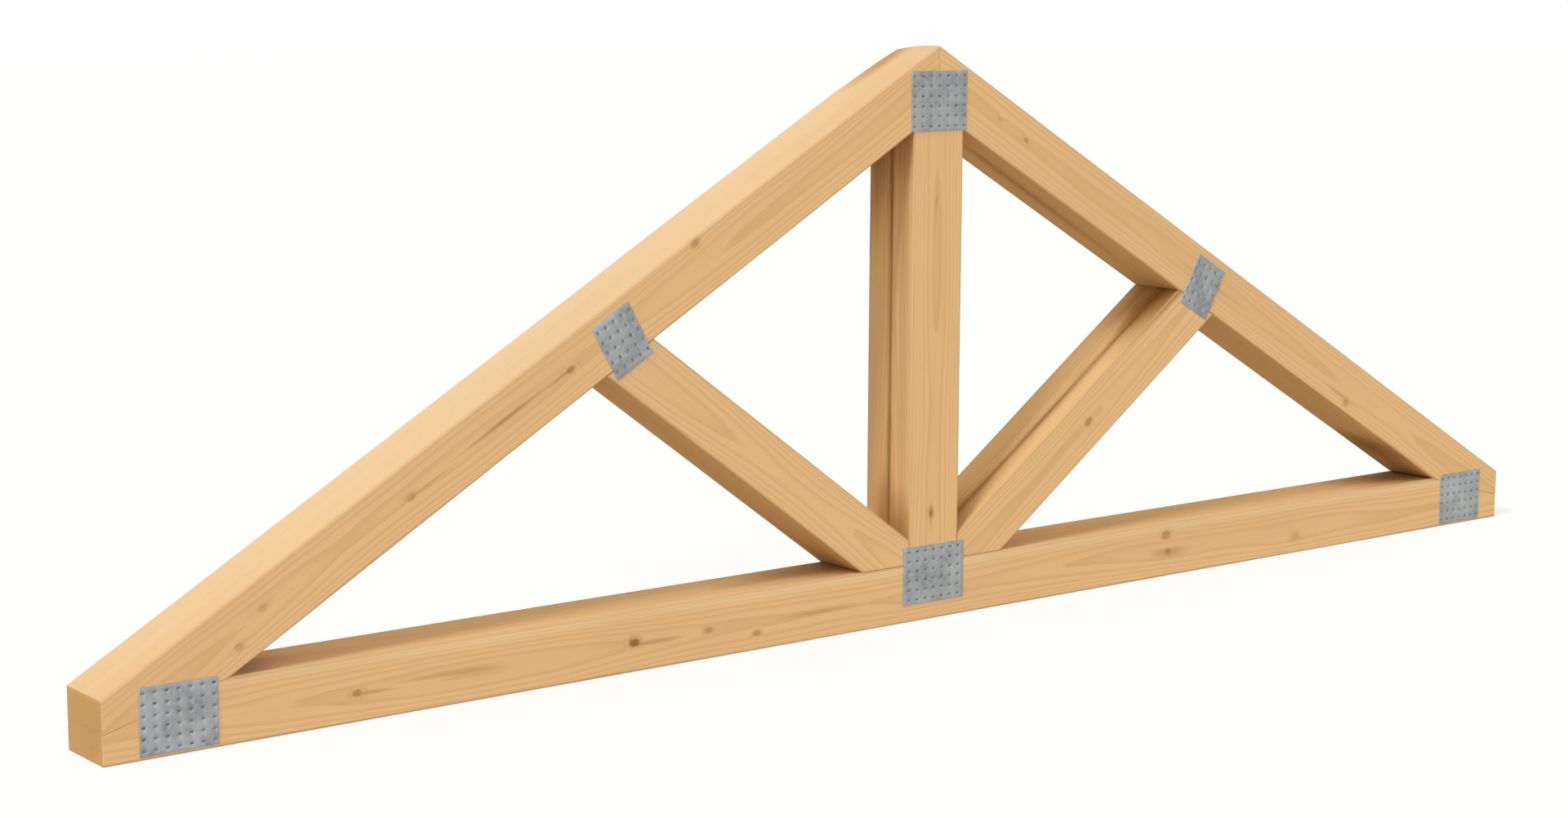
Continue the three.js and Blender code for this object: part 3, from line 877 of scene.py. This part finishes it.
def top_chord_cuts(side):
    """Plumb cut on the centre line, plumb cut at the eave and the mitre at the heel."""
    lifted = HEEL_INNER + HEEL_NORMAL * JOINT_GAP
    return [plumb_cut(side * JOINT_GAP / 2, -side), plumb_cut(side * HALF_SPAN, side),
            (on_side(side, lifted), on_side(side, -HEEL_NORMAL))]


def web_cuts(side):
    """Plumb cut against the king post, level cut on the bottom chord, slope cut under the top chord."""
    return [plumb_cut(side * (WEB_FOOT[0] + JOINT_GAP), -side), level_cut,
            (on_side(side, WEB_HEAD - ROOF_NORMAL * JOINT_GAP), on_side(side, ROOF_NORMAL))]


level_cut = (np.array([0.0, BOTTOM_CHORD_DEPTH + JOINT_GAP]), np.array([0.0, -1.0]))
shoulder = np.array([0.0, underside_at(0)]) - ROOF_NORMAL * JOINT_GAP
heel_cuts = [(on_side(side, HEEL_INNER), on_side(side, HEEL_NORMAL)) for side in (-1, 1)]
eave_cuts = [plumb_cut(side * HALF_SPAN, side) for side in (-1, 1)]


# knots are (x, z, face y, radius, strength) and streaks (x, z, y, length, height, breadth,
# strength, colour), in millimetres
timbers = {
    "bottom_chord": dict(
        line=BOTTOM_LINE, depth=BOTTOM_CHORD_DEPTH, cuts=heel_cuts + eave_cuts, wane=0.0,
        checks=[Check("back", 6.0, [(-900, 350, 1.6)], 3.0, 4),
                Check("lower", -8.0, [(-200, 1250, 1.8)], 3.0, 7)],
        knots=[(-1179, 46, FRONT, 6, 0.5), (-656, 50, FRONT, 7, 0.85), (-502, 49, FRONT, 6, 0.4),
               (-400, 30, FRONT, 6, 0.35), (595, 81, FRONT, 8, 0.42), (601, 48, FRONT, 5, 0.35),
               (-1010, 60, BACK, 11, 0.8), (240, 40, BACK, 9, 0.7), (1010, 66, BACK, 12, 0.8),
               (-1290, 30, BACK, 7, 0.7), (640, 25, BACK, 6, 0.6), (965, 35, FRONT, 6, 0.1)],
        # painted highlight along the front upper arris, the chord's full length
        streaks=[(0, 100, FRONT, 8000, 40, 36, 0.4, PAINTED_EDGE_HIGHLIGHT),
                 (-1013, 52, FRONT, 260, 14, 30, 0.4, STREAK),
                 (-269, 48, FRONT, 220, 12, 30, 0.4, STREAK),
                 (-610, 46, FRONT, 150, 12, 30, 0.5, STREAK),
                 (603, 46, FRONT, 140, 30, 30, 0.5, STREAK),
                 (965, 36, FRONT, 60, 46, 30, 0.22, STREAK),
                 (-1150, 44, FRONT, 110, 10, 30, 0.5, STREAK),
                 # painted shade in the heel corners, and on the upper face by the king post and web
                 # feet
                 (-1390, 105, 30, 320, 20, 180, 0.55, PAINTED_SHADE_BROWN),
                 (-1375, 105, -42, 170, 20, 100, 0.55, PAINTED_SHADE_BROWN),
                 (1380, 105, 10, 520, 20, 220, 0.85, PAINTED_SHADE_BROWN),
                 (-150, 105, 20, 760, 20, 240, 0.78, PAINTED_SHADE_BROWN)]),
    "king_post": dict(
        line=POST_LINE, depth=KING_POST_WIDTH, wane=0.0,
        cuts=[level_cut, *((on_side(side, shoulder), on_side(side, ROOF_NORMAL)) for side in (1, -1))],
        checks=[Check("upper", -1.0, [(-60, 1100, 3.2)], 1.0, 2),
                Check("back", -6.0, [(330, 800, 1.4)], 1.5, 9)],
        knots=[(-4, 754, FRONT, 5, 0.12), (-7, 194, FRONT, 5, 0.62), (10, 470, BACK, 10, 0.8)],
        streaks=[(-7, 190, FRONT, 90, 10, 30, 0.5, STREAK),
                 (-4, 745, FRONT, 90, 10, 30, 0.2, STREAK),
                 # painted shade on the post's left side: under the top chords, down its front half and
                 # by its foot
                 (-57.5, 880, 30, 600, 30, 130, 0.85, PAINTED_SHADE_BROWN),
                 (-57.5, 900, -34, 280, 8, 90, 0.6, PAINTED_SHADE_BROWN),
                 (-57.5, 560, -38, 1300, 8, 46, 0.25, PAINTED_SHADE_BROWN),
                 (-57.5, 125, -38, 300, 8, 90, 0.65, PAINTED_SHADE_BROWN),
                 (-57.5, 160, 5, 260, 8, 90, 0.6, PAINTED_SHADE_BROWN),
                 (-57.5, 860, -1, 700, 30, 22, 0.7, HEART_LINE),
                 (-57.5, 420, -1, 1100, 30, 20, 0.55, HEART_LINE)]),
    "top_chord_left": dict(
        line=TOP_LINES[-1], depth=TOP_CHORD_DEPTH, cuts=top_chord_cuts(-1), wane=RIDGE_WANE,
        checks=[Check("back", -9.0, [(-1500, -900, 1.5)], 2.0, 3)],
        knots=[(-1377, 148, FRONT, 6, 0.3), (-1336, 202, FRONT, 6, 0.2), (-1077, 342, FRONT, 6, 0.3),
               (-779, 517, FRONT, 6, 0.5), (-531, 708, FRONT, 7, 0.4),
               (-700, 560, BACK, 10, 0.8), (-1250, 240, BACK, 11, 0.8)],
        # painted sheen over the whole roof face
        streaks=[(*TOP_LINES[-1].point(-900, 50), 0, 4200, 16, 500, 0.75, PAINTED_ROOF_SHEEN),
                 (-900, 450, FRONT, 250, 15, 30, 0.8, STREAK),
                 (-1050, 357, FRONT, 130, 10, 30, 0.4, STREAK),
                 (-795, 508, FRONT, 130, 10, 30, 0.5, STREAK),
                 (-1336, 205, FRONT, 120, 18, 30, 0.4, HEART_WOOD),
                 (-40, 1000, 52, 260, 90, 90, 0.6, STREAK)]),
    "top_chord_right": dict(
        line=TOP_LINES[1], depth=TOP_CHORD_DEPTH, cuts=top_chord_cuts(1), wane=RIDGE_WANE,
        checks=[Check("lower", 0.0, [(-60, 720, 2.2), (790, 1700, 1.2)], 1.5, 5)],
        knots=[(209, 852, FRONT, 5, 0.42), (145, 893, FRONT, 4, 0.15), (1104, 292, FRONT, 6, 0.35),
               (640, 600, BACK, 11, 0.8), (1240, 230, BACK, 9, 0.7)],
        # painted sheen over the whole roof face
        streaks=[(*TOP_LINES[1].point(900, 50), 0, 4200, 16, 500, 0.75, PAINTED_ROOF_SHEEN),
                 (700, 560, FRONT, 260, 12, 30, 0.25, STREAK),
                 (1090, 308, FRONT, 150, 14, 30, 0.3, STREAK),
                 # painted shade on the underside by the heel
                 (*TOP_LINES[1].point(1520, -50), 10, 220, 20, 220, 0.7, PAINTED_SHADE_BROWN),
                 (*TOP_LINES[1].point(330, -50), 4, 760, 30, 44, 0.35, HEART_LINE)]),
    "web_left": dict(
        line=WEB_LINES[-1], depth=WEB_DEPTH, cuts=web_cuts(-1), wane=0.0,
        checks=[Check("back", 2.0, [(-620, -180, 1.4)], 2.0, 6)],
        knots=[(-360, 330, BACK, 10, 0.8)],
        streaks=[]),
    "web_right": dict(
        line=WEB_LINES[1], depth=WEB_DEPTH, cuts=web_cuts(1), wane=0.0,
        checks=[Check("upper", -15.0, [(-150, 800, 3.2)], 1.4, 8)],
        knots=[(380, 322, FRONT, 7, 0.48), (300, 260, BACK, 8, 0.7)],
        # painted shade on the upper face, where the web meets the king post and the top chord
        streaks=[(*WEB_LINES[1].point(0, 50), 10, 240, 30, 200, 0.6, PAINTED_SHADE_BROWN),
                 (*WEB_LINES[1].point(680, 50), 10, 300, 30, 200, 0.72, PAINTED_SHADE_BROWN),
                 (*WEB_LINES[1].point(680, 50), -42, 460, 30, 120, 0.8, PAINTED_SHADE_BROWN),
                 (*WEB_LINES[1].point(60, 50), -16, 360, 30, 30, 0.5, HEART_LINE),
                 (*WEB_LINES[1].point(330, 50), -17, 700, 30, 28, 0.55, HEART_LINE),
                 (*WEB_LINES[1].point(640, 50), -16, 380, 30, 38, 0.6, HEART_LINE)]),
}

for number, (node, made_of) in enumerate(timbers.items(), 1):
    piece = sawn_timber(f"sawn_{node}", made_of["line"], made_of["depth"], made_of["cuts"],
                        made_of["checks"], number, made_of["wane"])
    for sawn, label in ((False, f"planed_face_{node}"), (True, f"sawn_end_{node}")):
        piece.data.materials.append(softwood(label, made_of["line"], GRAIN_SHIFT * number,
                                             made_of["knots"], made_of["streaks"], sawn))
    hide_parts(node)
    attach(piece, "root")

heel_centre = np.array([HALF_SPAN - HEEL_PLATE_INSET - JOINT_PLATE[0] / 2,
                        HEEL_PLATE_RISE + JOINT_PLATE[1] / 2])
head_width = WEB_DEPTH / abs(WEB_ALONG @ ROOF_NORMAL)
web_plate_centre = (WEB_HEAD + DOWN_SLOPE * head_width / 2
                    + ROOF_NORMAL * (TOP_CHORD_DEPTH - WEB_PLATE_MARGIN - WEB_PLATE[0] / 2))
plates = {
    "apex_plate": (JOINT_PLATE, (0.0, underside_at(KING_POST_WIDTH / 2) + JOINT_PLATE[1] / 2), 0.0),
    "centre_plate": (CENTRE_PLATE, (0.0, CENTRE_PLATE_RISE + CENTRE_PLATE[1] / 2), 0.0),
}
for hand, side in (("left", -1), ("right", 1)):
    plates[f"heel_plate_{hand}"] = (JOINT_PLATE, on_side(side, heel_centre), 0.0)
    plates[f"web_plate_{hand}"] = (WEB_PLATE, on_side(side, web_plate_centre),
                                   side * (math.pi / 2 - ROOF_PITCH))

zinc_sheet, shaded_slot_wood = galvanised_sheet(), shaded_crushed_fibres()
for number, (node, (size, centre, tilt)) in enumerate(plates.items()):
    for face in ("front", "back"):
        piece = punched_plate(f"punched_{node}_{face}", *size, centre, tilt, face,
                              2 * number + (face == "back"))
        piece.data.materials.append(zinc_sheet)
        piece.data.materials.append(shaded_slot_wood)
        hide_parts(f"{node}_{face}")
        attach(piece, "root")

# ---- floor, light and camera
AMBIENT, WHITE = paint(202, 199, 181), paint(255, 255, 255)
FLOOR_BOUNCE, FLOOR_SHOWN = (0.50, 0.47, 0.41, 1.0), (0.32, 0.32, 0.32, 1.0)
FLOOR_GLOW = 0.68  # with the light that falls on it, this shows the floor as white
FLOOR_REACH, FLOOR_DROP = 30.0, -0.0006


def shown_rays(finish):
    """1 on rays that end in the eye: straight, by a reflection or through glass."""
    paths = [finish.node("ShaderNodeLightPath", out=f"Is {kind} Ray")
             for kind in ("Camera", "Glossy", "Transmission")]
    return finish.node("ShaderNodeClamp", {}, {"Value": paths[0] + paths[1] + paths[2]})


def pale_floor():
    """A floor that shows white with a soft shadow, and sends a warm light back up."""
    floor = Finish(bpy.data.materials.new("pale_floor"))
    shown = shown_rays(floor)
    tone = floor.blend(shown, FLOOR_BOUNCE, FLOOR_SHOWN)
    matt = floor.node("ShaderNodeBsdfDiffuse", {}, {"Color": tone})
    glow = floor.node("ShaderNodeEmission", {}, {"Strength": shown * FLOOR_GLOW})
    both = floor.node("ShaderNodeAddShader", {}, {0: matt, 1: glow})
    return floor.ends_in("ShaderNodeOutputMaterial", both)


def studio_air():
    """Air that is white to the eye and dimmer as a light."""
    air = Finish(bpy.data.worlds.new("studio_air"))
    tone = air.blend(shown_rays(air), AMBIENT, WHITE)
    sky = air.node("ShaderNodeBackground", {}, {"Color": tone})
    return air.ends_in("ShaderNodeOutputWorld", sky)


floor_mesh = bpy.data.meshes.new("studio_floor")
floor_mesh.from_pydata([(x * FLOOR_REACH, y * FLOOR_REACH, FLOOR_DROP)
                        for x, y in ((-1, -1), (1, -1), (1, 1), (-1, 1))], [], [(0, 1, 2, 3)])
studio_floor = bpy.data.objects.new("studio_floor", floor_mesh)
bpy.context.scene.collection.objects.link(studio_floor)
studio_floor.data.materials.append(pale_floor())
bpy.context.scene.world = studio_air()


def soft_light(name, towards, level, spread, colour):
    """A broad even light from a direction: level 1 shows a white face turned to it as white."""
    data = bpy.data.lights.new(name, "SUN")
    data.energy = level * math.pi
    data.color = colour
    data.angle = math.radians(spread)
    lamp = bpy.data.objects.new(name, data)
    lamp.rotation_euler = Vector(towards).to_track_quat("Z", "Y").to_euler()
    bpy.context.scene.collection.objects.link(lamp)


soft_light("front_softbox", (-0.30, -0.92, 0.25), 0.435, 30.0, (0.86, 0.93, 1.09))
soft_light("back_softbox", (0.45, 0.89, 0.0), 0.50, 20.0, (0.96, 0.99, 1.04))
soft_light("left_softbox", (-0.70, -0.14, 0.70), 0.53, 14.0, (0.94, 0.98, 1.03))

CAMERA_PLACE = Vector((-3.28188, -3.79606, 1.15430))
YAW, CAMERA_PITCH, ROLL = math.radians(38.1895), math.radians(-8.86324), math.radians(0.29134)
LENS, SENSOR_WIDTH, SIGHT = 64.787, 36.0, 100.0
ahead = Vector((math.sin(YAW) * math.cos(CAMERA_PITCH), math.cos(YAW) * math.cos(CAMERA_PITCH),
                math.sin(CAMERA_PITCH)))
sideways = Vector((math.cos(YAW), -math.sin(YAW), 0.0))
upright = sideways.cross(ahead)
right = sideways * math.cos(ROLL) + upright * math.sin(ROLL)
upward = upright * math.cos(ROLL) - sideways * math.sin(ROLL)
camera_data = bpy.data.cameras.new("studio_camera")
camera_data.sensor_fit = "HORIZONTAL"
camera_data.sensor_width = SENSOR_WIDTH
camera_data.lens = LENS
camera_data.clip_end = SIGHT
studio_camera = bpy.data.objects.new("studio_camera", camera_data)
studio_camera.matrix_world = Matrix.Translation(CAMERA_PLACE) @ Matrix(
    (right, upward, -ahead)).transposed().to_4x4()
bpy.context.scene.collection.objects.link(studio_camera)
bpy.context.scene.camera = studio_camera
bpy.context.scene.view_settings.view_transform = "Standard"
